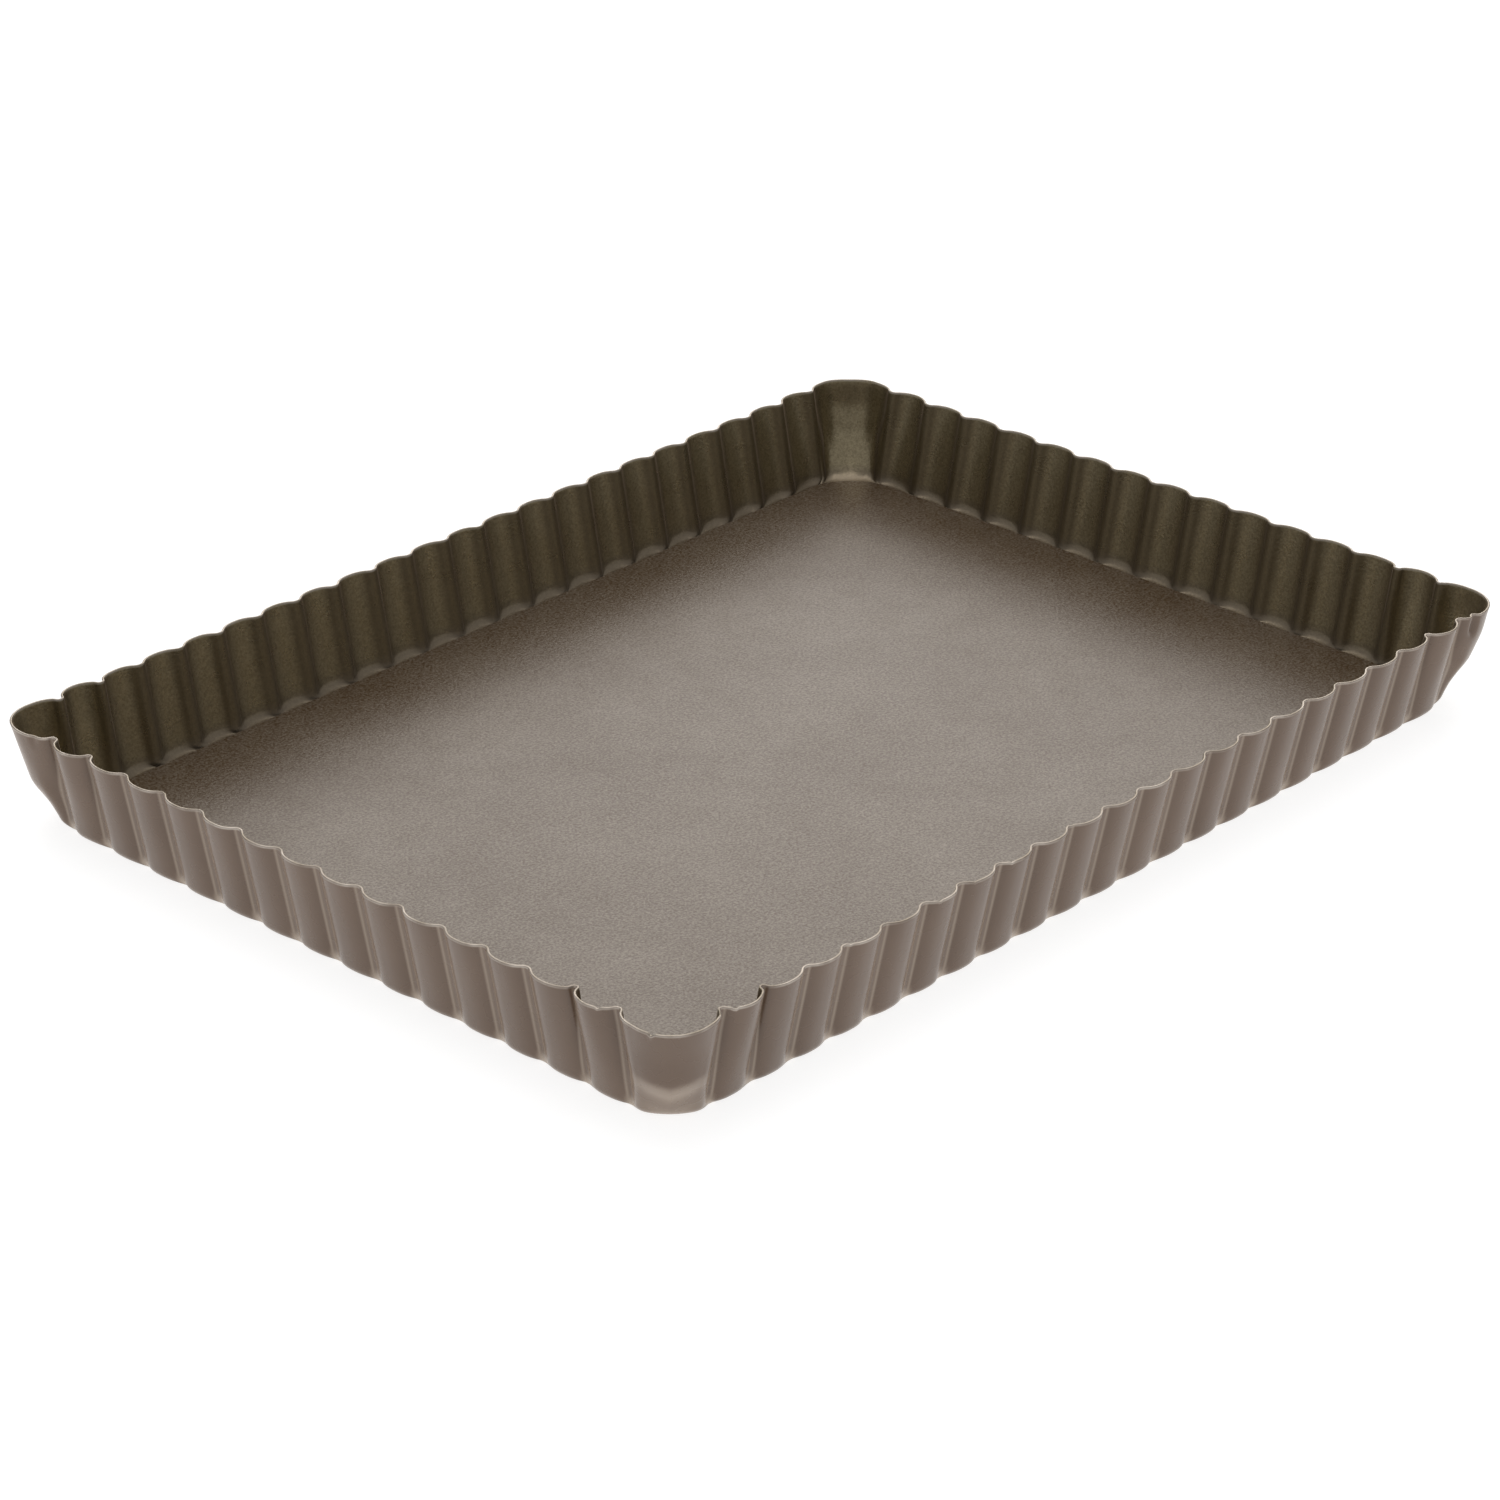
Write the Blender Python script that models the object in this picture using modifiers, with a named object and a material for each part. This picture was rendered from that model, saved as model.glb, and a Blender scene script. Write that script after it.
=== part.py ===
"""Rectangular fluted tart pan: a one-piece fluted ring and the loose base that lies in it.

The pan stands on Z = 0 with its long side along X. Everything is in metres.
"""

import math

import bmesh
import bpy
from mathutils import Matrix, Vector

# Overall size of the ring
RIM_LENGTH = 0.2890           # along X, between the crest lines of the end walls
RIM_WIDTH = 0.2105            # along Y, between the crest lines of the side walls
HEIGHT = 0.0250
FLARE = 0.0050                # how far each wall leans out between foot and rim
SHEET = 0.0005                # thickness of the ring's steel

# Flutes
LONG_FLUTES = 21              # flutes between the two corner ridges of a long side
SHORT_FLUTES = 14
LONG_REACH = 0.0171           # from an end wall's crest line to a long side's corner ridge
SHORT_REACH = 0.0178          # from a side wall's crest line to a short side's corner ridge
RIM_FLUTE_DEPTH = 0.0024
FOOT_FLUTE_DEPTH = 0.0018
RIDGE_RADIUS = 0.0016         # the tight inward fold between two flutes
RIM_CORNER_RADIUS = 0.0100
FOOT_CORNER_RADIUS = 0.0110
CORNER_BULGE = 0.0010         # how far the wide corner flutes stand out above their crease
CREASE_HEIGHT = 0.0120        # below it the corner flutes are tucked in
CORNER_TUCK = 0.0028          # how far the tuck brings them in at the foot

# Foot and ledge
FOOT_RADIUS = 0.0020          # where a flute's crest turns under
RIDGE_FOOT_RADIUS = 0.0005    # where a ridge turns under
LEDGE_WIDTH = 0.0060          # from the ridge line in to the ledge's free edge
LEDGE_CORNER_RADIUS = 0.0100

# Loose base
BASE_SHEET = 0.0006
BASE_EDGE_GAP = 0.0003        # from the ridges' feet to the base's edge
REST_GAP = 0.0003             # between the ledge and the base that lies on it

# Fineness of the curved stretches
RIDGE_STEPS = 1
CREST_STEPS = 2
CORNER_STEPS = 6
FOOT_STEPS = 2
BASE_CORNER_STEPS = 10
SMOOTH_ANGLE = math.radians(40)

# Worked out from the sizes above
LONG_SPAN = RIM_LENGTH - 2 * LONG_REACH
SHORT_SPAN = RIM_WIDTH - 2 * SHORT_REACH
RIDGE_HALF_LENGTH = RIM_LENGTH / 2 - RIM_FLUTE_DEPTH
RIDGE_HALF_WIDTH = RIM_WIDTH / 2 - RIM_FLUTE_DEPTH
BASE_CORNER_RADIUS = FOOT_CORNER_RADIUS + CORNER_TUCK
QUARTER_TURN = math.pi / 2


def clear_scene():
    for thing in list(bpy.data.objects):
        bpy.data.objects.remove(thing, do_unlink=True)


def new_collection(name):
    collection = bpy.data.collections.new(name)
    bpy.context.scene.collection.children.link(collection)
    return collection


def coating(name, colour, roughness, metallic):
    """A non-stick coating on steel."""
    material = bpy.data.materials.new(name)
    material.use_nodes = True
    shader = material.node_tree.nodes["Principled BSDF"]
    shader.inputs["Base Color"].default_value = (*colour, 1.0)
    shader.inputs["Roughness"].default_value = roughness
    shader.inputs["Metallic"].default_value = metallic
    return material


def finish_object(name, mesh_builder, collection, material):
    """Turn a bmesh into a shaded object that carries the node's name."""
    mesh = bpy.data.meshes.new(name)
    bmesh.ops.recalc_face_normals(mesh_builder, faces=mesh_builder.faces)
    mesh_builder.to_mesh(mesh)
    mesh_builder.free()
    mesh.materials.append(material)
    mesh.shade_smooth()
    mesh.set_sharp_from_angle(angle=SMOOTH_ANGLE)
    thing = bpy.data.objects.new(name, mesh)
    collection.objects.link(thing)
    return thing


def half_flute(pitch):
    """Two arcs from a ridge's tip to the next crest.

    Each point is its distance along the wall from the ridge and its share of the
    flute's depth, which is 1 on the ridge and 0 on the crest.
    """
    depth = RIM_FLUTE_DEPTH
    radii = (pitch * pitch / 4 + depth * depth) / (2 * depth)
    crest_radius = radii - RIDGE_RADIUS
    lean = math.asin(pitch / 2 / radii)
    points = []
    for step in range(RIDGE_STEPS):
        angle = lean * step / RIDGE_STEPS
        drop = RIDGE_RADIUS * (1 - math.cos(angle))
        points.append((RIDGE_RADIUS * math.sin(angle), 1 - drop / depth))
    for step in range(CREST_STEPS + 1):
        angle = lean * (1 - step / CREST_STEPS)
        drop = crest_radius * (1 - math.cos(angle))
        points.append((pitch / 2 - crest_radius * math.sin(angle), drop / depth))
    return points


def side_flutes(span, flutes):
    """The flutes of one side from its first corner ridge up to its last."""
    pitch = span / flutes
    half = half_flute(pitch)
    track = []
    for flute in range(flutes):
        start = flute * pitch - span / 2
        track += [(start + along, share) for along, share in half[:-1]]
        track += [(start + pitch - along, share) for along, share in half[:0:-1]]
    return track


def corner_flute(length, pitch, next_pitch):
    """Stations of the wide flute around a corner, between its two ridges.

    Each half flute beside a ridge is squeezed where the corner is short of room.
    """
    squeeze = min(1.0, length / (pitch + next_pitch))
    first = [(along * squeeze, share) for along, share in half_flute(pitch)]
    last = [(along * squeeze, share) for along, share in half_flute(next_pitch)]
    start = first[-1][0]
    stretch = length - start - last[-1][0]
    track = list(first)
    for step in range(1, CORNER_STEPS):
        track.append((start + stretch * step / CORNER_STEPS, 0.0))
    track += [(length - along, share) for along, share in last[:0:-1]]
    return track


def corner_place(station, lead, radius, half_along, half_out):
    """Point and outward direction on the crest line around a corner."""
    centre = Vector((half_along - radius, radius - half_out))
    arc = radius * QUARTER_TURN
    if station < lead:
        outward = Vector((0.0, -1.0))
        return centre + outward * radius + Vector((station - lead, 0.0)), outward
    if station < lead + arc:
        angle = (station - lead) / radius
        outward = Vector((math.sin(angle), -math.cos(angle)))
        return centre + outward * radius, outward
    outward = Vector((1.0, 0.0))
    return centre + outward * radius + Vector((0.0, station - lead - arc)), outward


def outline(half_length, half_width, radius, depth, swell, height):
    """One level of the ring: its fluted loop, anticlockwise from the front left ridge.

    The half sizes are those of the crest line, where the outward flutes reach.
    """
    spans = (LONG_SPAN, SHORT_SPAN)
    counts = (LONG_FLUTES, SHORT_FLUTES)
    halves = (half_length, half_width)
    reaches = [min(span / 2, half - radius) for span, half in zip(spans, halves)]
    pitches = [span / count for span, count in zip(spans, counts)]
    loop = []
    for side in range(4):
        this = side % 2
        other = 1 - this
        turn = Matrix.Rotation(side * QUARTER_TURN, 2)
        squeeze = 2 * reaches[this] / spans[this]
        for along, share in side_flutes(spans[this], counts[this]):
            place = Vector((along * squeeze, depth * share - halves[other]))
            loop.append((turn @ place).to_3d() + Vector((0, 0, height)))
        lead = halves[this] - radius - reaches[this]
        length = lead + radius * QUARTER_TURN + halves[other] - radius - reaches[other]
        for station, share in corner_flute(length, pitches[this], pitches[other]):
            place, outward = corner_place(station, lead, radius, halves[this], halves[other])
            rise = swell * math.sin(math.pi * station / length) ** 2
            place += outward * (rise - depth * share)
            loop.append((turn @ place).to_3d() + Vector((0, 0, height)))
    return loop


def corner_swell(height):
    """How far the middle of a corner flute stands out from the rounded corner."""
    below_crease = max(0.0, 1 - height / CREASE_HEIGHT)
    return CORNER_BULGE - CORNER_TUCK * below_crease


def wall_level(height, turn_under=0.0):
    """The ring's outer face at a height; turn_under runs from 0 to a quarter turn."""
    rise = height / HEIGHT
    lean = FLARE * (1 - rise)
    tuck = 1 - math.cos(turn_under)
    depth = FOOT_FLUTE_DEPTH + (RIM_FLUTE_DEPTH - FOOT_FLUTE_DEPTH) * rise
    depth -= (FOOT_RADIUS - RIDGE_FOOT_RADIUS) * tuck
    inset = lean + RIDGE_FOOT_RADIUS * tuck
    radius = FOOT_CORNER_RADIUS + (RIM_CORNER_RADIUS - FOOT_CORNER_RADIUS) * rise
    return outline(
        RIDGE_HALF_LENGTH - inset + depth,
        RIDGE_HALF_WIDTH - inset + depth,
        radius,
        depth,
        corner_swell(height),
        height,
    )


def ledge_level():
    """The free edge of the ledge that the base lies on."""
    inset = FLARE + LEDGE_WIDTH
    return outline(
        RIDGE_HALF_LENGTH - inset,
        RIDGE_HALF_WIDTH - inset,
        LEDGE_CORNER_RADIUS,
        0.0,
        0.0,
        0.0,
    )


def ring_levels():
    """Loops of the ring's outer face from the rim down and in under the base."""
    levels = [wall_level(HEIGHT), wall_level(CREASE_HEIGHT)]
    for step in range(FOOT_STEPS + 1):
        angle = QUARTER_TURN * step / FOOT_STEPS
        levels.append(wall_level(FOOT_RADIUS * (1 - math.sin(angle)), angle))
    levels.append(ledge_level())
    return levels


def loft(levels):
    """A skin through loops that all have the same number of points."""
    skin = bmesh.new()
    rows = [[skin.verts.new(point) for point in loop] for loop in levels]
    for upper, lower in zip(rows, rows[1:]):
        for index in range(len(upper)):
            before = index - 1
            skin.faces.new((upper[before], lower[before], lower[index], upper[index]))
    return skin


def build_ring(collection):
    """The fluted wall with the ledge under it, pressed from one sheet."""
    material = coating("ring coating", (0.190, 0.155, 0.125), 0.38, 0.85)
    ring = finish_object("fluted_ring", loft(ring_levels()), collection, material)
    shell = ring.modifiers.new("sheet", "SOLIDIFY")
    shell.thickness = SHEET
    shell.offset = -1.0
    shell.use_even_offset = True
    return ring


def build_base(collection):
    """The flat plate that lies on the ledge with its edge along the ridges' feet."""
    inset = FLARE + RIDGE_FOOT_RADIUS + SHEET + BASE_EDGE_GAP
    size = (
        2 * (RIDGE_HALF_LENGTH - inset),
        2 * (RIDGE_HALF_WIDTH - inset),
        BASE_SHEET,
    )
    plate = bmesh.new()
    bmesh.ops.create_cube(plate, size=1.0)
    bmesh.ops.scale(plate, vec=size, verts=plate.verts)
    corners = [
        edge
        for edge in plate.edges
        if edge.verts[0].co.xy == edge.verts[1].co.xy
    ]
    bmesh.ops.bevel(
        plate,
        geom=corners,
        offset=BASE_CORNER_RADIUS,
        segments=BASE_CORNER_STEPS,
        profile=0.5,
        affect="EDGES",
    )
    material = coating("base coating", (0.300, 0.260, 0.220), 0.42, 0.85)
    base = finish_object("loose_base", plate, collection, material)
    base.location.z = SHEET + REST_GAP + BASE_SHEET / 2
    return base


def main():
    clear_scene()
    collection = new_collection("tart pan")
    build_ring(collection)
    build_base(collection)


main()
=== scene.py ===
"""The looks of the fluted tart pan: its pressed ring, its loose base, the floor, lights and camera.

Every size is in metres. The ring and the base stand for the two CAD nodes, and their overall
sizes are read from the frame. The ring's sides are numbered round the rim from the front long
side: 0 front, 1 right, 2 back, 3 left. Each side ends in the corner flute of the same number.
"""

import math

import bpy
import numpy as np
from mathutils import Matrix, Vector


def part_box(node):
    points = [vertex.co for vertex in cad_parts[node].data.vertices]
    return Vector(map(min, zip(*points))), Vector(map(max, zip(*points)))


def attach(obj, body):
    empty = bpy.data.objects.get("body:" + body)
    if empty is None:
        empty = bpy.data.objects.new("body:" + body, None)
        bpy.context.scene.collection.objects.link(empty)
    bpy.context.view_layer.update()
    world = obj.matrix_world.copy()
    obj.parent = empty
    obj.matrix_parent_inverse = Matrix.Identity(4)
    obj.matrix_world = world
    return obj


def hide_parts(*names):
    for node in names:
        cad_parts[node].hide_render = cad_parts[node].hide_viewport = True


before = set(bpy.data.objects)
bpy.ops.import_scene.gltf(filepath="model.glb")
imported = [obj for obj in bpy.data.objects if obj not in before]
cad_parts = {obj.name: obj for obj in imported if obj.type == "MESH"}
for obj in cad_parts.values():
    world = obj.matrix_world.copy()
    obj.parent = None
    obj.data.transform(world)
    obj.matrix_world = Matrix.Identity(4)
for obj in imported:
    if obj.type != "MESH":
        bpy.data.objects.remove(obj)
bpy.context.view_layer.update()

# Overall sizes, from the frame
RING_HIGH = Vector(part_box("fluted_ring")[1])
BASE_LOW, BASE_HIGH = [Vector(corner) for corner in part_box("loose_base")]
CORNER_STANDS_OUT = 0.00055   # how far the corner flutes reach past the crest lines
CREST_HALF = (RING_HIGH.x - CORNER_STANDS_OUT, RING_HIGH.y - CORNER_STANDS_OUT)
SHEET = 0.0005
RIM_ROUND = 0.0001            # how far the cut edge's round rises above the rim
RIM_MARGIN = 0.00007          # room for the inner edge, which the wall's lean lifts
RIM_HEIGHT = RING_HIGH.z - RIM_ROUND - RIM_MARGIN

# Flutes
FLUTES = (21, 14)             # on a long side and on a short side
REACH = (0.0171, 0.0178)      # crest line at the rim to the first ridge beside it
SPAN = (2 * (CREST_HALF[0] - REACH[0]), 2 * (CREST_HALF[1] - REACH[1]))
PITCH = (SPAN[0] / FLUTES[0], SPAN[1] / FLUTES[1])
RIM_DEPTH = 0.0021            # from a crest in to a ridge, at the rim
FOOT_DEPTH = 0.0017           # and at the foot
RIDGE_RADIUS = 0.0021
FLATNESS = 1.20               # above 1, the crests are flatter and the ridges sharper
FLARE = 0.0050                # how far the walls lean out between foot and rim
RIM_DIP = 0.0001              # how much lower the rim runs on a crest than on a ridge

# Corner flutes
RIM_CORNER_RADIUS = 0.0100
FOOT_CORNER_RADIUS = 0.0120
SWELL_RISES = (0.0, 0.07, 0.17, 0.29, 0.38, 0.72, 1.0)   # shares of the rim's height
CORNER_SWELLS = (                                  # millimetres outward at those rises
    (-4.4, -3.8, -2.4, -0.9, 0.5, 0.8, -0.3),      # right
    (-3.0, -2.3, -0.9, 0.1, 1.2, 0.6, -1.1),       # back
    (-2.7, -2.0, -0.7, 0.3, 1.3, 0.8, 0.3),        # left
    (-0.5, -0.3, 0.5, 0.9, 1.7, 1.0, 1.0),         # near, the one in front
)
SWELL_NARROWNESS = (0.9, 1.7) # powers, low and at the rim: a higher one gathers the swell
NARROWNESS_RISES = (0.4, 1.0) # shares of the rim's height between which the power grows
# How square each corner flute is at the rim: how far its two halves stand out there
CORNER_FULLNESS = (0.0, 0.00055, 0.0, 0.0)
CHEVRON = 0.19                # how much higher the creases run beside a corner's ridges
WAIST = 0.0008                # how far a corner flute narrows between its creases and the rim
WAIST_RISE = 0.45             # where it is narrowest
WAIST_SPREAD = 0.17

# Ridges beside the corners, pinched as the sheet was gathered there
# Each row holds the amount on a corner's own ridges and the amount on the ridges next to them
PINCH_DEPTHS = (              # how much deeper a ridge is
    (0.0003, 0.0007),         # right
    (0.0001, 0.0002),         # back
    (0.0010, 0.0007),         # left
    (0.0008, 0.0011),         # near
)
PINCH_NECKS = (               # how far a ridge's flanks are drawn together
    (0.0003, 0.0006),         # right
    (0.0001, 0.0001),         # back
    (0.0006, 0.0006),         # left
    (0.0004, 0.0009),         # near
)
SMALL_SWELL = 0.0005          # how far the flute between two such ridges stands out
PINCH_FADE = (0.08, 0.85)     # shares of the height between which the pinching grows

# Painted highlights: where the outside's colour is lightened to stand in for highlights and
# reflections
SHOULDER_SHARE = 0.90         # where on a ridge's flank, as a share of the depth
SHOULDER_SPREAD = 0.055
SHOULDER_SHINE = 0.75
CREASE_RISES = (0.0, 0.08, 0.14, 0.20, 0.28, 0.37, 0.43)   # shares of the rim's height
CREASE_SHINE = (0.8, 0.75, 0.35, 0.5, 1.0, 0.7, 0.0)       # on a corner flute at those rises
CORNER_SHINE = (0.30, 0.6, 0.05, 0.75)                     # how strongly at each corner
CORNER_SHINE_POWER = 0.7      # below 1, it reaches further round a corner flute
FOOT_SHINE_SHARES = (0.5, 0.95)                            # it grows between these shares
FOOT_SHINE_RISES = (0.04, 0.16)                            # and fades between these rises

# Unevenness of a pressed part
SETTLE = 0.00018              # how far a ridge strays along the side
DEPTH_STRAY = 0.00012         # how much deeper or shallower it is
HEIGHT_STRAY = 0.00010        # how much higher or lower it ends
NICKS = (                     # side, ridges from its start, width, depth
    (0, 0.20, 0.0009, 0.0005),
    (0, 3.10, 0.0008, 0.0003),
    (0, 5.30, 0.0010, 0.0003),
    (0, 6.25, 0.0009, 0.0003),
    (0, 7.25, 0.0009, 0.0003),
    (0, 9.05, 0.0008, 0.0003),
    (3, 13.72, 0.0010, 0.0004),
    (3, 14.36, 0.0014, 0.0006),
    (3, 14.94, 0.0010, 0.0004),
)
NICK_REACH = 1.3              # half widths from a nick's middle to its ends
NICK_LOWEST = 0.93            # share of the rim's height from which a nick bends the wall
DENT_FADE = 0.15              # share of the rim's height over which a dent fades out
DENTS = (                     # side, ridges from its start, width, depth, lowest rise
    (0, 21.13, 0.0015, 0.0014, 0.74),
    (2, 21.88, 0.0016, 0.0005, 0.84),
    (3, 13.10, 0.0020, 0.0004, 0.80),
)

# Foot and ledge
FOOT_RADIUS = 0.0023          # where a crest turns under
RIDGE_FOOT_RADIUS = 0.0006    # where a ridge turns under
LEDGE_WIDTH = 0.0060
LEDGE_CORNER_RADIUS = 0.0100

# Base
BASE_CORNER_RADIUS = 0.0152
BASE_EDGE_ROUND = 0.00018
BASE_INSETS = (0.0006, 0.0015, 0.003, 0.006, 0.010, 0.0135)   # of the outlines on a face

# Fineness
FLUTE_COLUMNS = 28
CORNER_COLUMNS = 84
RIM_STEPS = 5
LEDGE_ROWS = 5
FOOT_ROWS = 8
WALL_ROWS = 34
BASE_CORNER_STEPS = 28
BASE_EDGE_STEPS = 4
QUARTER_TURN = math.pi / 2
RIM_FIRST_ANGLE = 0.6         # where the rim's round starts, from the sheet's outer face
FREE_FIRST_ANGLE = 0.8        # the same at the ledge's free edge


# Shape of the ring
def half_flute(distance, pitch):
    """Share of the flute's depth at a distance from a ridge: 1 on the ridge, 0 on the crest."""
    radii = ((pitch / 2) ** 2 + RIM_DEPTH**2) / (2 * RIM_DEPTH)
    crest_radius = radii - RIDGE_RADIUS
    lean = math.asin(pitch / 2 / radii)
    if distance < RIDGE_RADIUS * math.sin(lean):
        drop = RIDGE_RADIUS - math.sqrt(RIDGE_RADIUS**2 - distance**2)
        return (1 - drop / RIM_DEPTH) ** FLATNESS
    from_crest = pitch / 2 - distance
    rise = crest_radius - math.sqrt(crest_radius**2 - from_crest**2)
    return (rise / RIM_DEPTH) ** FLATNESS


def smooth_step(value, low, high):
    """0 below low, 1 above high and an even curve between them."""
    t = np.clip((value - low) / (high - low), 0, 1)
    return t * t * (3 - 2 * t)


class Track:
    """The columns of the ring, in order round it from the front left corner.

    A column is a line that runs from the rim down the wall and in under the base. Each list
    has one entry for a column:
    side      number of its side, or of the side that its corner ends
    corner    1 on a corner flute, 0 on a side
    along     on a side: from its middle; on a corner flute: along its two half flutes
    stretch   share of the corner's middle stretch that is passed
    share     share of the flute's depth
    beyond    ridges passed on the way from the nearest corner
    turn      share of the corner flute that is passed
    off       signed distance from the nearest ridge, at most half a flute
    ridges    ridges passed on the side since its start
    """

    NAMES = ("side", "corner", "along", "stretch", "share", "beyond", "turn", "off", "ridges")

    def __init__(self):
        self.columns = []
        for side in range(4):
            self.add_side(side)
            self.add_corner(side)
        for name, values in zip(self.NAMES, np.array(self.columns, dtype=float).T):
            setattr(self, name, values)

    def add_side(self, side):
        pitch = PITCH[side % 2]
        flutes = FLUTES[side % 2]
        for column in range(flutes * FLUTE_COLUMNS):
            ridges = column / FLUTE_COLUMNS
            off = (ridges - round(ridges)) * pitch
            share = half_flute(abs(off), pitch)
            beyond = min(ridges, flutes - ridges)
            along = ridges * pitch - SPAN[side % 2] / 2
            self.columns.append((side, 0, along, 0, share, beyond, 0, off, ridges))

    def add_corner(self, side):
        first = PITCH[side % 2] / 2
        last = PITCH[(side + 1) % 2] / 2
        near = FLUTE_COLUMNS // 2
        middle = CORNER_COLUMNS - 2 * near
        for column in range(CORNER_COLUMNS):
            turn = column / CORNER_COLUMNS
            after = CORNER_COLUMNS - column
            if column < near:
                off = first * column / near
                along, stretch, share = off, 0, half_flute(off, 2 * first)
            elif after > near:
                off = first
                along, stretch, share = first, (column - near) / middle, 0
            else:
                off = -last * after / near
                along, stretch, share = first + last + off, 1, half_flute(-off, 2 * last)
            beyond = -0.5 * min(column, after, near) / near
            ridges = FLUTES[side % 2] + turn
            self.columns.append((side, 1, along, stretch, share, beyond, turn, off, ridges))


def turned(points, quarter_turns):
    """Plan points turned about the middle, each by its own number of quarter turns."""
    cos = np.round(np.cos(quarter_turns * QUARTER_TURN))
    sin = np.round(np.sin(quarter_turns * QUARTER_TURN))
    x = points[:, 0] * cos - points[:, 1] * sin
    y = points[:, 0] * sin + points[:, 1] * cos
    return np.stack([x, y], axis=1)


def crest_loop(track, halves, radius):
    """Places on the crest line and the outward directions there, at one level of the wall."""
    count = len(track.side)
    places = np.zeros((count, 2))
    outward = np.zeros((count, 2))
    for side in range(4):
        this, other = side % 2, 1 - side % 2
        half_along, half_out = halves[this], halves[other]
        reach = min(SPAN[this] / 2, half_along - radius)
        next_reach = min(SPAN[other] / 2, half_out - radius)
        on_side = (track.side == side) & (track.corner == 0)
        places[on_side, 0] = track.along[on_side] * 2 * reach / SPAN[this]
        places[on_side, 1] = -half_out
        outward[on_side, 1] = -1

        around = (track.side == side) & (track.corner == 1)
        lead = half_along - radius - reach
        arc = radius * QUARTER_TURN
        length = lead + arc + half_out - radius - next_reach
        near = PITCH[this] / 2 + PITCH[other] / 2
        squeeze = min(1.0, length / (2 * near))
        station = track.along[around] * squeeze
        station = station + track.stretch[around] * (length - near * squeeze)
        angle = np.clip((station - lead) / radius, 0, QUARTER_TURN)
        before = np.minimum(station - lead, 0)
        after = np.maximum(station - lead - arc, 0)
        places[around, 0] = half_along - radius + radius * np.sin(angle) + before
        places[around, 1] = radius - half_out - radius * np.cos(angle) + after
        outward[around, 0] = np.sin(angle)
        outward[around, 1] = -np.cos(angle)
    return turned(places, track.side), turned(outward, track.side)


def softened(values, places, amounts, reach=0.07):
    """Amounts between the given places, with the bends there rounded over a reach."""
    steps = np.linspace(-reach, reach, 9)
    return np.mean([np.interp(values + step, places, amounts) for step in steps], axis=0)


def creased_rise(track, rise):
    """A level of the wall as the corner flutes' creases run: they climb towards the ridges."""
    sideways = np.abs(2 * track.turn - 1)
    return rise - CHEVRON * sideways * np.minimum(4 * rise, 1) * (1 - rise)


def corner_swell(track, rise):
    """How far each column stands out for its corner flute's form, at one level of the wall."""
    narrowness = np.interp(rise, NARROWNESS_RISES, SWELL_NARROWNESS)
    weight = np.sin(math.pi * track.turn) ** narrowness
    local_rise = creased_rise(track, rise)
    swell = np.zeros(len(track.side))
    for side, swells in enumerate(CORNER_SWELLS):
        here = (track.side == side) & (track.corner == 1)
        swell[here] = softened(local_rise[here], SWELL_RISES, swells) * 0.001 * weight[here]
        squareness = CORNER_FULLNESS[side] * np.sin(2 * math.pi * track.turn[here]) ** 2
        swell[here] += squareness * rise * rise
    return swell


def pinched(track, amounts):
    """Each column's amount: one for a corner's own ridges and one for the ridges next to them."""
    before = (track.corner == 0) & (track.along < 0)
    corner = np.where(before, (track.side - 1) % 4, track.side).astype(int)
    own, following = np.array(amounts)[corner].T
    own = np.where(track.beyond < 0.5, own, 0)
    return np.where((track.beyond >= 0.5) & (track.beyond < 1.5), following, own)


def strays(track):
    """Small unevenness of each ridge: along the side, in depth and in height."""
    draw = np.random.default_rng(7)
    nearest = np.round(track.ridges) + 100 * track.side
    nearest[(track.corner == 1) & (track.turn > 0.5)] += 100 - FLUTES[0]
    kinds, place = np.unique(nearest, return_inverse=True)
    near = np.abs(track.off) < 0.49 * PITCH[0]
    amounts = draw.uniform(-1, 1, (3, len(kinds)))
    return [amount[place] * track.share * near for amount in amounts]


def painted_highlight(track, rise):
    """How strongly the outside's colour is lightened into a painted highlight, at one level of the
    wall: along the ridges' shoulders, at the ridges' feet and in the corner flutes' creases.
    """
    shoulder = SHOULDER_SHINE * np.exp(-(((track.share - SHOULDER_SHARE) / SHOULDER_SPREAD) ** 2))
    foot = smooth_step(track.share, *FOOT_SHINE_SHARES) * (1 - smooth_step(rise, *FOOT_SHINE_RISES))
    gathered = np.interp(creased_rise(track, rise), CREASE_RISES, CREASE_SHINE)
    bright = np.array(CORNER_SHINE)[track.side.astype(int)] * track.corner
    corner = gathered * np.sin(math.pi * track.turn) ** CORNER_SHINE_POWER * bright
    return np.maximum(np.maximum(shoulder, foot), corner)


def apart_from(track, side, ridges):
    """How far each column is from a place on a side or on its corner flute."""
    corner_length = REACH[0] + REACH[1] - RIM_CORNER_RADIUS * (2 - QUARTER_TURN)
    length = np.where(track.corner == 1, corner_length, PITCH[side % 2])
    return np.where(track.side == side, np.abs(track.ridges - ridges) * length, math.inf)


def nick_drop(track):
    """How far the small nicks lower the rim at each column."""
    drop = np.zeros(len(track.side))
    for side, ridges, width, depth in NICKS:
        apart = apart_from(track, side, ridges) / (width / 2)
        drop += depth * np.clip(NICK_REACH - apart, 0, 1)
    return drop


def dents(track, rise):
    """How far the folds under the rim press each column inward, at one level of the wall."""
    pressed = np.zeros(len(track.side))
    for side, ridges, width, depth, lowest in DENTS:
        apart = apart_from(track, side, ridges) / (width / 2)
        pressed += depth * np.exp(-(apart**2)) * smooth_step(rise, lowest, lowest + DENT_FADE)
    return pressed


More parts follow.
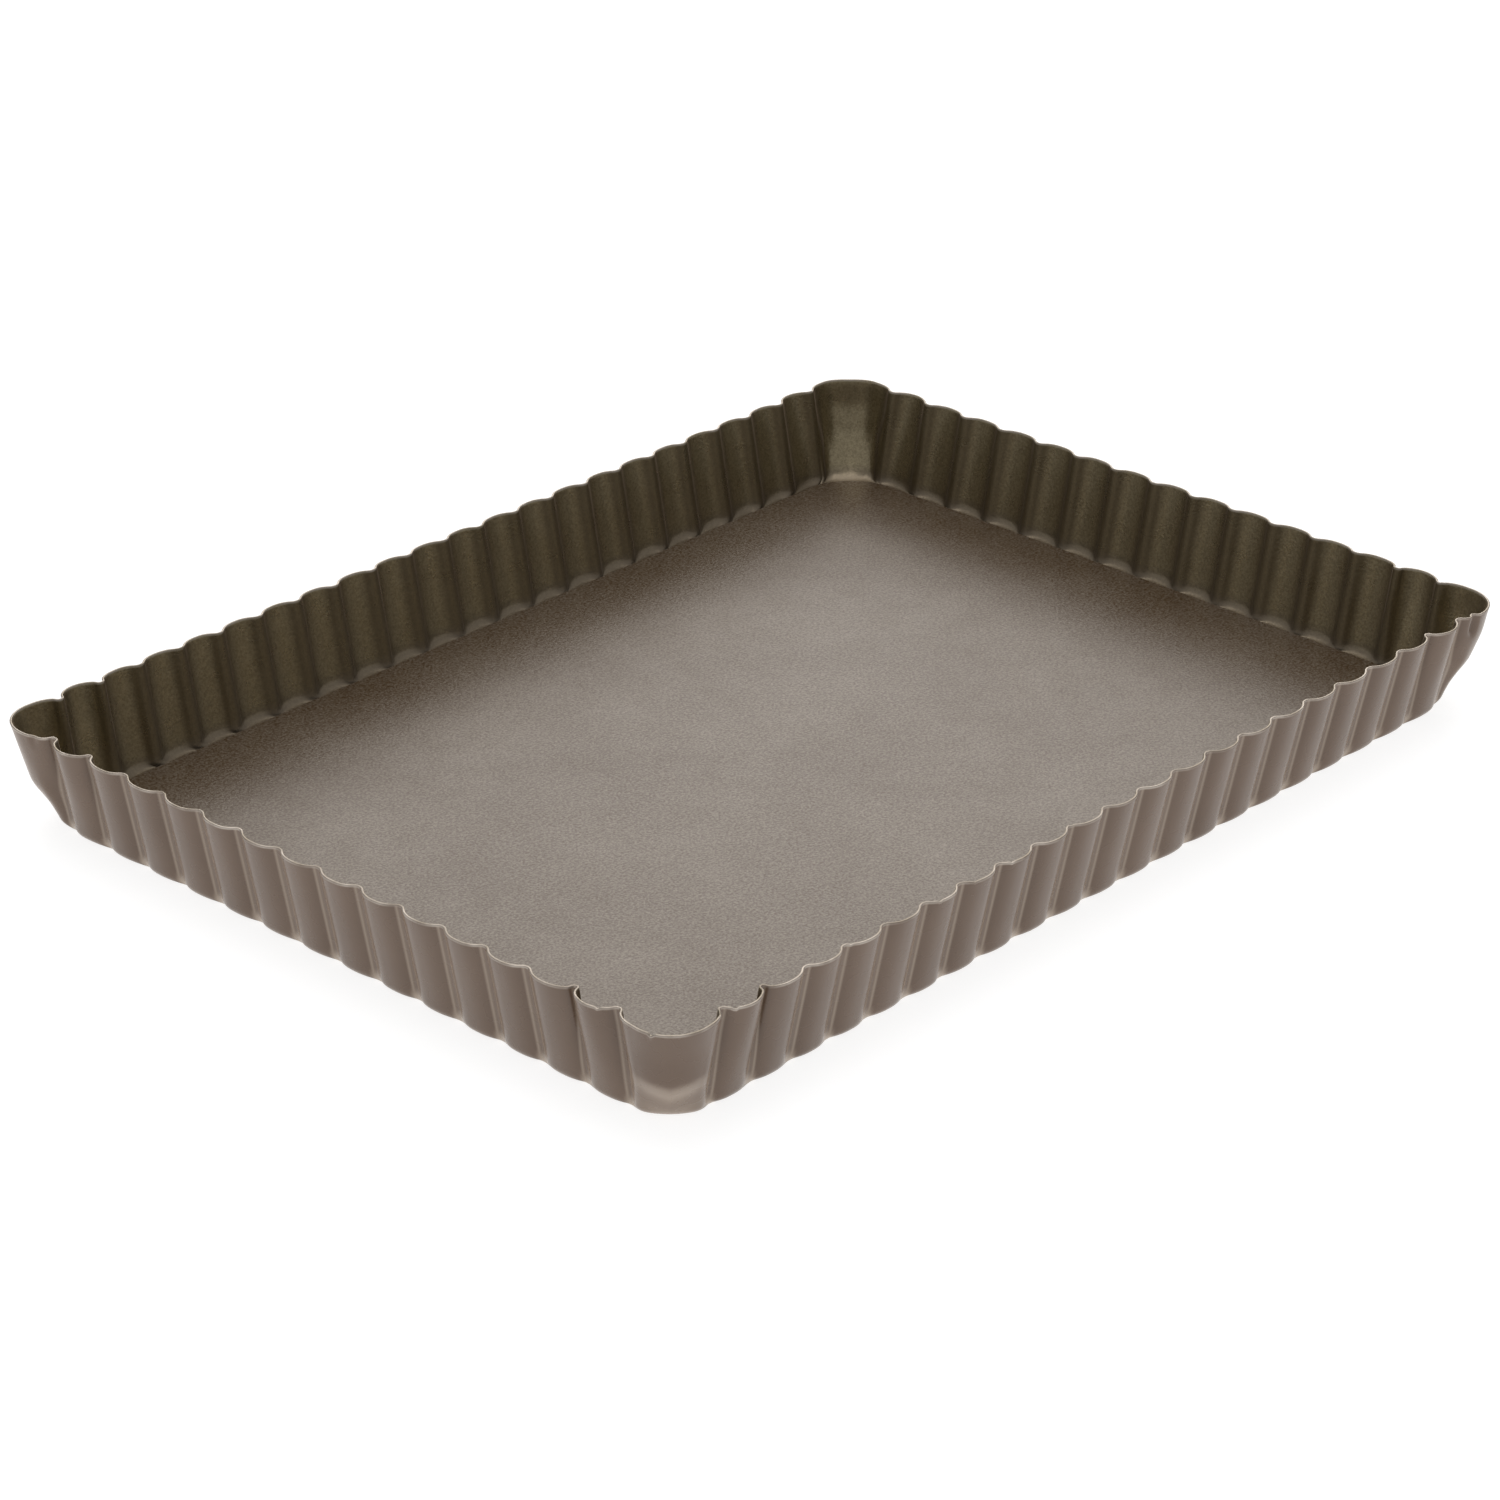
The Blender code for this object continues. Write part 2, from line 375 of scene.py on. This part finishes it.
def ring_outer_face(track):
    """Rows of points on the ring's outer face, from the ledge's free edge up to the rim.

    A second list says for each point how strongly it gets the painted highlight.
    """
    rows = []
    shine = []
    ledge_inset = FLARE + LEDGE_WIDTH
    ridge_half = np.array(CREST_HALF) - RIM_DEPTH
    depth_amount = pinched(track, PINCH_DEPTHS)
    neck_amount = pinched(track, PINCH_NECKS)
    between = (track.beyond > 0) & (track.beyond < 1)
    small_flute = np.where(between, np.sin(math.pi * track.beyond) ** 2, 0)
    neck_share = 4 * track.share * (1 - track.share) * -np.sign(track.off)
    stray_along, stray_depth, stray_height = strays(track)
    nicks = nick_drop(track)

    def level(height, inset, depth, radius, rise, corner_form):
        places, outward = crest_loop(track, ridge_half - inset + depth, radius)
        forward = np.stack([-outward[:, 1], outward[:, 0]], axis=1)
        fade = smooth_step(rise, *PINCH_FADE)
        flute_depth = depth + depth_amount * fade + DEPTH_STRAY * stray_depth * corner_form
        offset = corner_swell(track, rise) * corner_form - flute_depth * track.share
        offset = offset + SMALL_SWELL * small_flute * fade - dents(track, rise)
        waist = WAIST * math.exp(-(((rise - WAIST_RISE) / WAIST_SPREAD) ** 2)) * track.corner
        shift = (neck_amount * fade - waist) * neck_share + SETTLE * stray_along * corner_form
        plan = places + outward * offset[:, None] + forward * shift[:, None]
        lowered = RIM_DIP * (1 - track.share) - HEIGHT_STRAY * (stray_height - 1)
        z = height - lowered * rise**2 - nicks * smooth_step(rise, NICK_LOWEST, 1.0)
        rows.append(np.column_stack([plan, z]))
        shine.append(painted_highlight(track, rise))

    def wall_row(height, tuck):
        rise = height / RIM_HEIGHT
        depth = FOOT_DEPTH + (RIM_DEPTH - FOOT_DEPTH) * rise
        depth -= (FOOT_RADIUS - RIDGE_FOOT_RADIUS) * tuck
        inset = FLARE * (1 - rise) + RIDGE_FOOT_RADIUS * tuck
        radius = FOOT_CORNER_RADIUS + (RIM_CORNER_RADIUS - FOOT_CORNER_RADIUS) * rise
        level(height, inset, depth, radius, rise, 1.0)

    foot_depth = FOOT_DEPTH - (FOOT_RADIUS - RIDGE_FOOT_RADIUS)
    for step in range(LEDGE_ROWS + 1):
        t = step / LEDGE_ROWS
        inset = ledge_inset + (FLARE + RIDGE_FOOT_RADIUS - ledge_inset) * t
        radius = LEDGE_CORNER_RADIUS + (FOOT_CORNER_RADIUS - LEDGE_CORNER_RADIUS) * t
        level(0.0, inset, foot_depth * t, radius, 0.0, t)
    for step in range(FOOT_ROWS - 1, -1, -1):
        angle = QUARTER_TURN * step / FOOT_ROWS
        wall_row(FOOT_RADIUS * (1 - math.sin(angle)), 1 - math.cos(angle))
    for step in range(1, WALL_ROWS + 1):
        wall_row(FOOT_RADIUS + (RIM_HEIGHT - FOOT_RADIUS) * step / WALL_ROWS, 0.0)
    return np.array(rows), np.array(shine)


def unit(vectors):
    return vectors / np.linalg.norm(vectors, axis=-1, keepdims=True)


def closed_sheet(rows):
    """Gives a skin its thickness, and says for each loop how far it is lining and cut edge.

    The loops are the outer rows, a round over the rim, the inner rows and a round free edge.
    """
    around = np.roll(rows, -1, axis=1) - np.roll(rows, 1, axis=1)
    inward = -unit(np.cross(around, np.gradient(rows, axis=0)))
    half = SHEET / 2
    middle = rows + inward * half
    up = unit(rows[-1] - rows[-2])
    free = unit(rows[0] - rows[1])
    loops = list(rows)
    lining = [0.0] * len(rows)
    cut = [0.0] * (len(rows) - 1) + [1.0]
    for angle in np.linspace(RIM_FIRST_ANGLE, math.pi - RIM_FIRST_ANGLE, RIM_STEPS):
        across = middle[-1] - inward[-1] * half * math.cos(angle)
        loops.append(across + up * RIM_ROUND * math.sin(angle))
        lining.append(0.5 - 0.5 * math.cos(angle))
        cut.append(1.0)
    loops += list((rows + inward * SHEET)[::-1])
    lining += [1.0] * len(rows)
    cut += [1.0] + [0.0] * (len(rows) - 1)
    for angle in (math.pi - FREE_FIRST_ANGLE, QUARTER_TURN, FREE_FIRST_ANGLE):
        across = middle[0] - inward[0] * half * math.cos(angle)
        loops.append(across + free * RIM_ROUND * math.sin(angle))
        lining.append(0.5 - 0.5 * math.cos(angle))
        cut.append(1.0)
    return np.array(loops), lining, cut


def link_mesh(name, vertices, faces):
    mesh = bpy.data.meshes.new(name)
    mesh.from_pydata(vertices, [], faces)
    mesh.shade_smooth()
    thing = bpy.data.objects.new(name, mesh)
    bpy.context.scene.collection.objects.link(thing)
    return thing


def add_attribute(thing, name, values):
    layer = thing.data.attributes.new(name, "FLOAT", "POINT")
    layer.data.foreach_set("value", np.asarray(values, dtype=np.float32))


def build_ring():
    track = Track()
    outer_rows, shine = ring_outer_face(track)
    loops, lining, cut = closed_sheet(outer_rows)
    rows, columns = loops.shape[:2]
    below = np.arange(rows * columns).reshape(rows, columns)
    above = np.roll(below, -1, axis=0)
    quads = [below, np.roll(below, -1, axis=1), np.roll(above, -1, axis=1), above]
    faces = np.stack(quads, axis=2).reshape(-1, 4)
    thing = link_mesh("pressed_ring", loops.reshape(-1, 3).tolist(), faces.tolist())
    add_attribute(thing, "lining", np.repeat(lining, columns))
    add_attribute(thing, "cut_edge", np.repeat(cut, columns))
    inner_start = len(outer_rows) + RIM_STEPS
    # painted highlight mask: on the outer face, and mirrored onto the inner face, where the
    # lining's colour hides it
    painted_highlights = np.zeros(loops.shape[:2])
    painted_highlights[:len(outer_rows)] = shine
    painted_highlights[inner_start:inner_start + len(outer_rows)] = shine[::-1]
    add_attribute(thing, "painted_highlight", painted_highlights.ravel())
    # the flute's depth share, which the lining's painted shade follows
    add_attribute(thing, "ridge", np.tile(track.share, rows))
    return thing


# Shape of the base
def rounded_rectangle(inset, z):
    """Points round the plate's outline at an inset from its edge."""
    radius = BASE_CORNER_RADIUS
    points = []
    for corner in range(4):
        side_x = 1 if corner in (0, 3) else -1
        side_y = 1 if corner in (0, 1) else -1
        for step in range(BASE_CORNER_STEPS + 1):
            angle = QUARTER_TURN * (corner + step / BASE_CORNER_STEPS)
            x = side_x * (BASE_HIGH.x - radius) + (radius - inset) * math.cos(angle)
            y = side_y * (BASE_HIGH.y - radius) + (radius - inset) * math.sin(angle)
            points.append((x, y, z))
    return points


def base_outlines():
    """The plate's outlines: in from the middle of its top, round its edge and back below."""
    low, high = BASE_LOW.z, BASE_HIGH.z
    outlines = [rounded_rectangle(inset, high) for inset in BASE_INSETS[::-1]]
    angles = [QUARTER_TURN * step / BASE_EDGE_STEPS for step in range(BASE_EDGE_STEPS + 1)]
    for angle in angles:
        inset = BASE_EDGE_ROUND * (1 - math.sin(angle))
        outlines.append(rounded_rectangle(inset, high - BASE_EDGE_ROUND * (1 - math.cos(angle))))
    for angle in angles:
        inset = BASE_EDGE_ROUND * (1 - math.cos(angle))
        outlines.append(rounded_rectangle(inset, low + BASE_EDGE_ROUND * (1 - math.sin(angle))))
    return outlines + [rounded_rectangle(inset, low) for inset in BASE_INSETS]


def build_base():
    """The loose plate: a flat rounded rectangle with rounded edges."""
    outlines = base_outlines()
    count = len(outlines[0])
    vertices = [point for outline in outlines for point in outline]
    faces = []
    for row in range(len(outlines) - 1):
        for index in range(count):
            after = (index + 1) % count
            start = row * count
            following = start + count
            faces.append((start + after, start + index, following + index, following + after))
    faces.append(list(range(count)))
    last = (len(outlines) - 1) * count
    faces.append([last + index for index in range(count)][::-1])
    return link_mesh("base_plate", vertices, faces)


# Materials
GRAIN_SCALE = 1500.0          # cells in a metre
GRAIN_DEPTH = 0.00008
SPECK_SCALE = 3000.0          # cells in a metre
SPECK_SHARE = 0.55            # of the sandy shading, and the rest comes from the grain
GRAIN_SHARE = 0.45
GRAIN_RANGE = (0.38, 0.62)    # noise values that stand for the darkest and the lightest grain
CLOUD_RANGE = (0.35, 0.65)    # the same for the wide clouds in the coating
WEAR_RANGE = (0.3, 0.7)       # the same for the smoother and rougher patches
CLOUD_DETAIL = 3.0
GRAIN_DETAIL = 1.0


class Nodes:
    """Short calls for building one material's node tree."""

    def __init__(self, name):
        self.material = bpy.data.materials.new(name)
        self.material.use_nodes = True
        self.tree = self.material.node_tree
        self.shader = self.tree.nodes["Principled BSDF"]
        place = self.tree.nodes.new("ShaderNodeTexCoord")
        self.place = place.outputs["Object"]

    def link(self, source, target):
        self.tree.links.new(source, target)

    def noise(self, scale, detail):
        node = self.tree.nodes.new("ShaderNodeTexNoise")
        node.inputs["Scale"].default_value = scale
        node.inputs["Detail"].default_value = detail
        self.link(self.place, node.inputs["Vector"])
        return node.outputs["Fac"]

    def speckle(self, grain):
        """Sandy specks: each tiny cell has its own shade, over a slightly coarser grain."""
        node = self.tree.nodes.new("ShaderNodeTexVoronoi")
        node.inputs["Scale"].default_value = SPECK_SCALE
        self.link(self.place, node.inputs["Vector"])
        parts = self.tree.nodes.new("ShaderNodeSeparateColor")
        self.link(node.outputs["Color"], parts.inputs["Color"])
        coarse = self.spread(grain, *GRAIN_RANGE, 0.0, GRAIN_SHARE)
        return self.math("ADD", self.math("MULTIPLY", parts.outputs["Red"], SPECK_SHARE), coarse)

    def height(self):
        """Height above the floor, at rest."""
        parts = self.tree.nodes.new("ShaderNodeSeparateXYZ")
        self.link(self.place, parts.inputs["Vector"])
        return parts.outputs["Z"]

    def attribute(self, name):
        node = self.tree.nodes.new("ShaderNodeAttribute")
        node.attribute_name = name
        return node.outputs["Fac"]

    def spread(self, value, low, high, to_low=0.0, to_high=1.0):
        """Carries a value's range low..high onto to_low..to_high, clamped."""
        node = self.tree.nodes.new("ShaderNodeMapRange")
        node.inputs["From Min"].default_value = low
        node.inputs["From Max"].default_value = high
        node.inputs["To Min"].default_value = to_low
        node.inputs["To Max"].default_value = to_high
        self.link(value, node.inputs["Value"])
        return node.outputs["Result"]

    def math(self, operation, first, second):
        node = self.tree.nodes.new("ShaderNodeMath")
        node.operation = operation
        for socket, value in zip(node.inputs, (first, second)):
            if isinstance(value, (int, float)):
                socket.default_value = value
            else:
                self.link(value, socket)
        return node.outputs["Value"]

    def mix(self, share, first, second):
        """Mixes two colours, each a triple or a socket."""
        node = self.tree.nodes.new("ShaderNodeMix")
        node.data_type = "RGBA"
        self.set_or_link(node.inputs["Factor"], share)
        colour_inputs = [socket for socket in node.inputs if socket.type == "RGBA"]
        for socket, value in zip(colour_inputs, (first, second)):
            self.set_or_link(socket, (*value, 1) if isinstance(value, tuple) else value)
        return [socket for socket in node.outputs if socket.type == "RGBA"][0]

    def set_or_link(self, socket, value):
        if isinstance(value, (int, float, tuple)):
            socket.default_value = value
        else:
            self.link(value, socket)

    def bump(self, height, strength):
        node = self.tree.nodes.new("ShaderNodeBump")
        node.inputs["Distance"].default_value = GRAIN_DEPTH
        self.set_or_link(node.inputs["Strength"], strength)
        self.link(height, node.inputs["Height"])
        return node.outputs["Normal"]


OUTSIDE = (0.162, 0.107, 0.073)
OUTSIDE_DARK = (0.140, 0.091, 0.061)
# painted highlight: the colour the outside is lightened to on the ridges' shoulders and feet and in
# the corner creases
OUTSIDE_HIGHLIGHT = (0.40, 0.32, 0.25)
LINING = (0.350, 0.292, 0.188)
LINING_DARK = (0.224, 0.186, 0.114)
# painted shade: the lining darkened towards the ridges, standing in for the flanks turned from the
# light
LINING_RIDGE_SHADE = (0.160, 0.128, 0.080)
# painted shade: the darker colour of the lining at its foot, where the wall meets the base
LINING_FOOT_SHADE = (0.172, 0.138, 0.104)
PLATE = (0.192, 0.156, 0.120)
PLATE_DARK = (0.056, 0.026, 0.004)
BARE_EDGE = (0.44, 0.39, 0.34)
SHEEN_TINT = (1.0, 0.78, 0.60)
SHEEN_WEIGHT = 0.25
SHEEN_ROUGHNESS = 0.3
OUTSIDE_ROUGHNESS = (0.24, 0.30)
LINING_ROUGHER = 0.02         # than the outside
FOOT_ROUGHER = 0.12           # than the lining above it
EDGE_ROUGHER = 0.10           # than the outside
LINING_METAL = 0.85           # how much of the steel's reflection comes through the lining
LINING_GRAIN = 0.5
PLATE_ROUGHNESS = (0.30, 0.35)
PLATE_METAL = 0.12
PLATE_GRAIN = 0.8
LINING_FOOT_SHADE_HEIGHTS = (0.0014, 0.0040)   # the lining darkens to its painted foot shade between these
RING_CLOUD_SCALE = 38.0       # patches in a metre, here and in the next three
RING_WEAR_SCALE = 160.0
PLATE_CLOUD_SCALE = 26.0
PLATE_WEAR_SCALE = 120.0
LEAST_BARE = 0.30             # how much steel shows where the cut edge kept most coating


def ring_material():
    """Satin coating outside with painted highlights, a grainier one inside darkened by painted
    shade on the ridges and at the foot, and bare metal on the cut edge.
    """
    nodes = Nodes("ring coating")
    lining = nodes.spread(nodes.attribute("lining"), 0.3, 0.7)
    cut = nodes.spread(nodes.attribute("cut_edge"), 0.2, 0.8)
    shine = nodes.attribute("painted_highlight")
    cloud = nodes.spread(nodes.noise(RING_CLOUD_SCALE, CLOUD_DETAIL), *CLOUD_RANGE)
    grain = nodes.noise(GRAIN_SCALE, GRAIN_DETAIL)
    speck = nodes.speckle(grain)
    outside = nodes.mix(cloud, OUTSIDE_DARK, OUTSIDE)
    # painted highlight: the outside lightened where the highlight mask says
    outside = nodes.mix(shine, outside, OUTSIDE_HIGHLIGHT)
    inside = nodes.mix(speck, LINING_DARK, LINING)
    # painted shade: the lining darkens with the flute's depth share, towards each ridge
    ridge = nodes.spread(nodes.attribute("ridge"), 0.05, 0.65, 0.0, 0.75)
    inside = nodes.mix(ridge, inside, LINING_RIDGE_SHADE)
    # painted shade: the lining darkens towards its foot, where it meets the base
    low = nodes.spread(nodes.height(), *LINING_FOOT_SHADE_HEIGHTS, 1.0, 0.0)
    inside = nodes.mix(nodes.math("MULTIPLY", low, 0.75), inside, LINING_FOOT_SHADE)
    coat = nodes.mix(lining, outside, inside)
    worn = nodes.spread(nodes.noise(RING_WEAR_SCALE, CLOUD_DETAIL), 0.35, 0.62, LEAST_BARE, 1.0)
    bare = nodes.math("MULTIPLY", cut, worn)
    nodes.link(nodes.mix(bare, coat, BARE_EDGE), nodes.shader.inputs["Base Color"])
    metal = nodes.math("MAXIMUM", bare, nodes.math("MULTIPLY", lining, LINING_METAL))
    nodes.link(metal, nodes.shader.inputs["Metallic"])
    patches = nodes.noise(RING_WEAR_SCALE, CLOUD_DETAIL)
    rough = nodes.spread(patches, *WEAR_RANGE, *OUTSIDE_ROUGHNESS)
    foot = nodes.math("MULTIPLY", low, lining)
    rough = nodes.math("ADD", rough, nodes.math("MULTIPLY", lining, LINING_ROUGHER))
    rough = nodes.math("ADD", rough, nodes.math("MULTIPLY", foot, FOOT_ROUGHER))
    rough = nodes.math("ADD", rough, nodes.math("MULTIPLY", cut, EDGE_ROUGHER))
    nodes.link(rough, nodes.shader.inputs["Roughness"])
    grainy = nodes.spread(lining, 0.0, 1.0, 0.0, LINING_GRAIN)
    nodes.link(nodes.bump(grain, grainy), nodes.shader.inputs["Normal"])
    nodes.shader.inputs["Sheen Weight"].default_value = SHEEN_WEIGHT
    nodes.shader.inputs["Sheen Roughness"].default_value = SHEEN_ROUGHNESS
    nodes.shader.inputs["Sheen Tint"].default_value = (*SHEEN_TINT, 1)
    return nodes.material


def base_material():
    """The plate's coating: an even satin with a fine sandy grain."""
    nodes = Nodes("base coating")
    grain = nodes.noise(GRAIN_SCALE, GRAIN_DETAIL)
    sand = nodes.speckle(grain)
    cloud = nodes.spread(nodes.noise(PLATE_CLOUD_SCALE, CLOUD_DETAIL), *CLOUD_RANGE, 0.0, 0.2)
    shade = nodes.math("SUBTRACT", sand, cloud)
    nodes.link(nodes.mix(shade, PLATE_DARK, PLATE), nodes.shader.inputs["Base Color"])
    patches = nodes.noise(PLATE_WEAR_SCALE, CLOUD_DETAIL)
    rough = nodes.spread(patches, *WEAR_RANGE, *PLATE_ROUGHNESS)
    nodes.link(rough, nodes.shader.inputs["Roughness"])
    nodes.link(nodes.bump(grain, PLATE_GRAIN), nodes.shader.inputs["Normal"])
    nodes.shader.inputs["Metallic"].default_value = PLATE_METAL
    return nodes.material


ring = build_ring()
ring.data.materials.append(ring_material())
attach(ring, "ring")
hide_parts("fluted_ring")

base = build_base()
base.data.materials.append(base_material())
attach(base, "base")
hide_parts("loose_base")


# Floor, lights and camera
FLOOR_HALF = 40.0
FLOOR_SHADE = 0.35
FLOOR_ROUGHNESS = 0.9
FLOOR_GLOW = 0.83             # a light table's share in the floor's brightness
WORLD_GLOW = 0.45


def build_floor():
    corners = [(-FLOOR_HALF, -FLOOR_HALF), (FLOOR_HALF, -FLOOR_HALF)]
    corners += [(FLOOR_HALF, FLOOR_HALF), (-FLOOR_HALF, FLOOR_HALF)]
    floor = link_mesh("floor", [(x, y, 0.0) for x, y in corners], [(0, 1, 2, 3)])
    nodes = Nodes("pale floor")
    shader = nodes.shader
    shader.inputs["Base Color"].default_value = (FLOOR_SHADE, FLOOR_SHADE, FLOOR_SHADE, 1)
    shader.inputs["Roughness"].default_value = FLOOR_ROUGHNESS
    shader.inputs["Emission Color"].default_value = (1, 1, 1, 1)
    shader.inputs["Emission Strength"].default_value = FLOOR_GLOW
    floor.data.materials.append(nodes.material)
    return floor


build_floor()


def area_light(name, place, size, power, colour):
    """A soft rectangular light that shines at the pan."""
    data = bpy.data.lights.new(name, "AREA")
    data.shape = "RECTANGLE"
    data.size, data.size_y = size
    data.energy = power
    data.color = colour
    light = bpy.data.objects.new(name, data)
    light.location = place
    light.rotation_euler = (-Vector(place)).to_track_quat("-Z", "Y").to_euler()
    bpy.context.scene.collection.objects.link(light)


area_light("back softbox", (1.56, 1.33, 1.2), (2.1, 2.0), 25, (1.0, 0.965, 0.92))
area_light("top softbox", (0.1, 0.2, 1.8), (1.2, 1.2), 8, (1.0, 1.0, 1.0))

world = bpy.data.worlds.new("studio")
world.use_nodes = True
world.node_tree.nodes["Background"].inputs["Color"].default_value = (1, 1, 1, 1)
world.node_tree.nodes["Background"].inputs["Strength"].default_value = WORLD_GLOW
bpy.context.scene.world = world
bpy.context.scene.view_settings.view_transform = "Standard"

CAMERA_PLACE = Vector((-0.7098, -0.6403, 0.4793))
CAMERA_AIM = Vector((-0.0020, 0.0051, 0.0))
CAMERA_ROLL = math.radians(0.58)
LENS = 109.8


def place_camera():
    data = bpy.data.cameras.new("camera")
    data.lens = LENS
    data.sensor_width = 36
    data.clip_start = 0.01
    camera = bpy.data.objects.new("camera", data)
    bpy.context.scene.collection.objects.link(camera)
    look = (CAMERA_AIM - CAMERA_PLACE).to_track_quat("-Z", "Y").to_matrix()
    rolled = look @ Matrix.Rotation(CAMERA_ROLL, 3, "Z")
    camera.matrix_world = Matrix.Translation(CAMERA_PLACE) @ rolled.to_4x4()
    bpy.context.scene.camera = camera


place_camera()
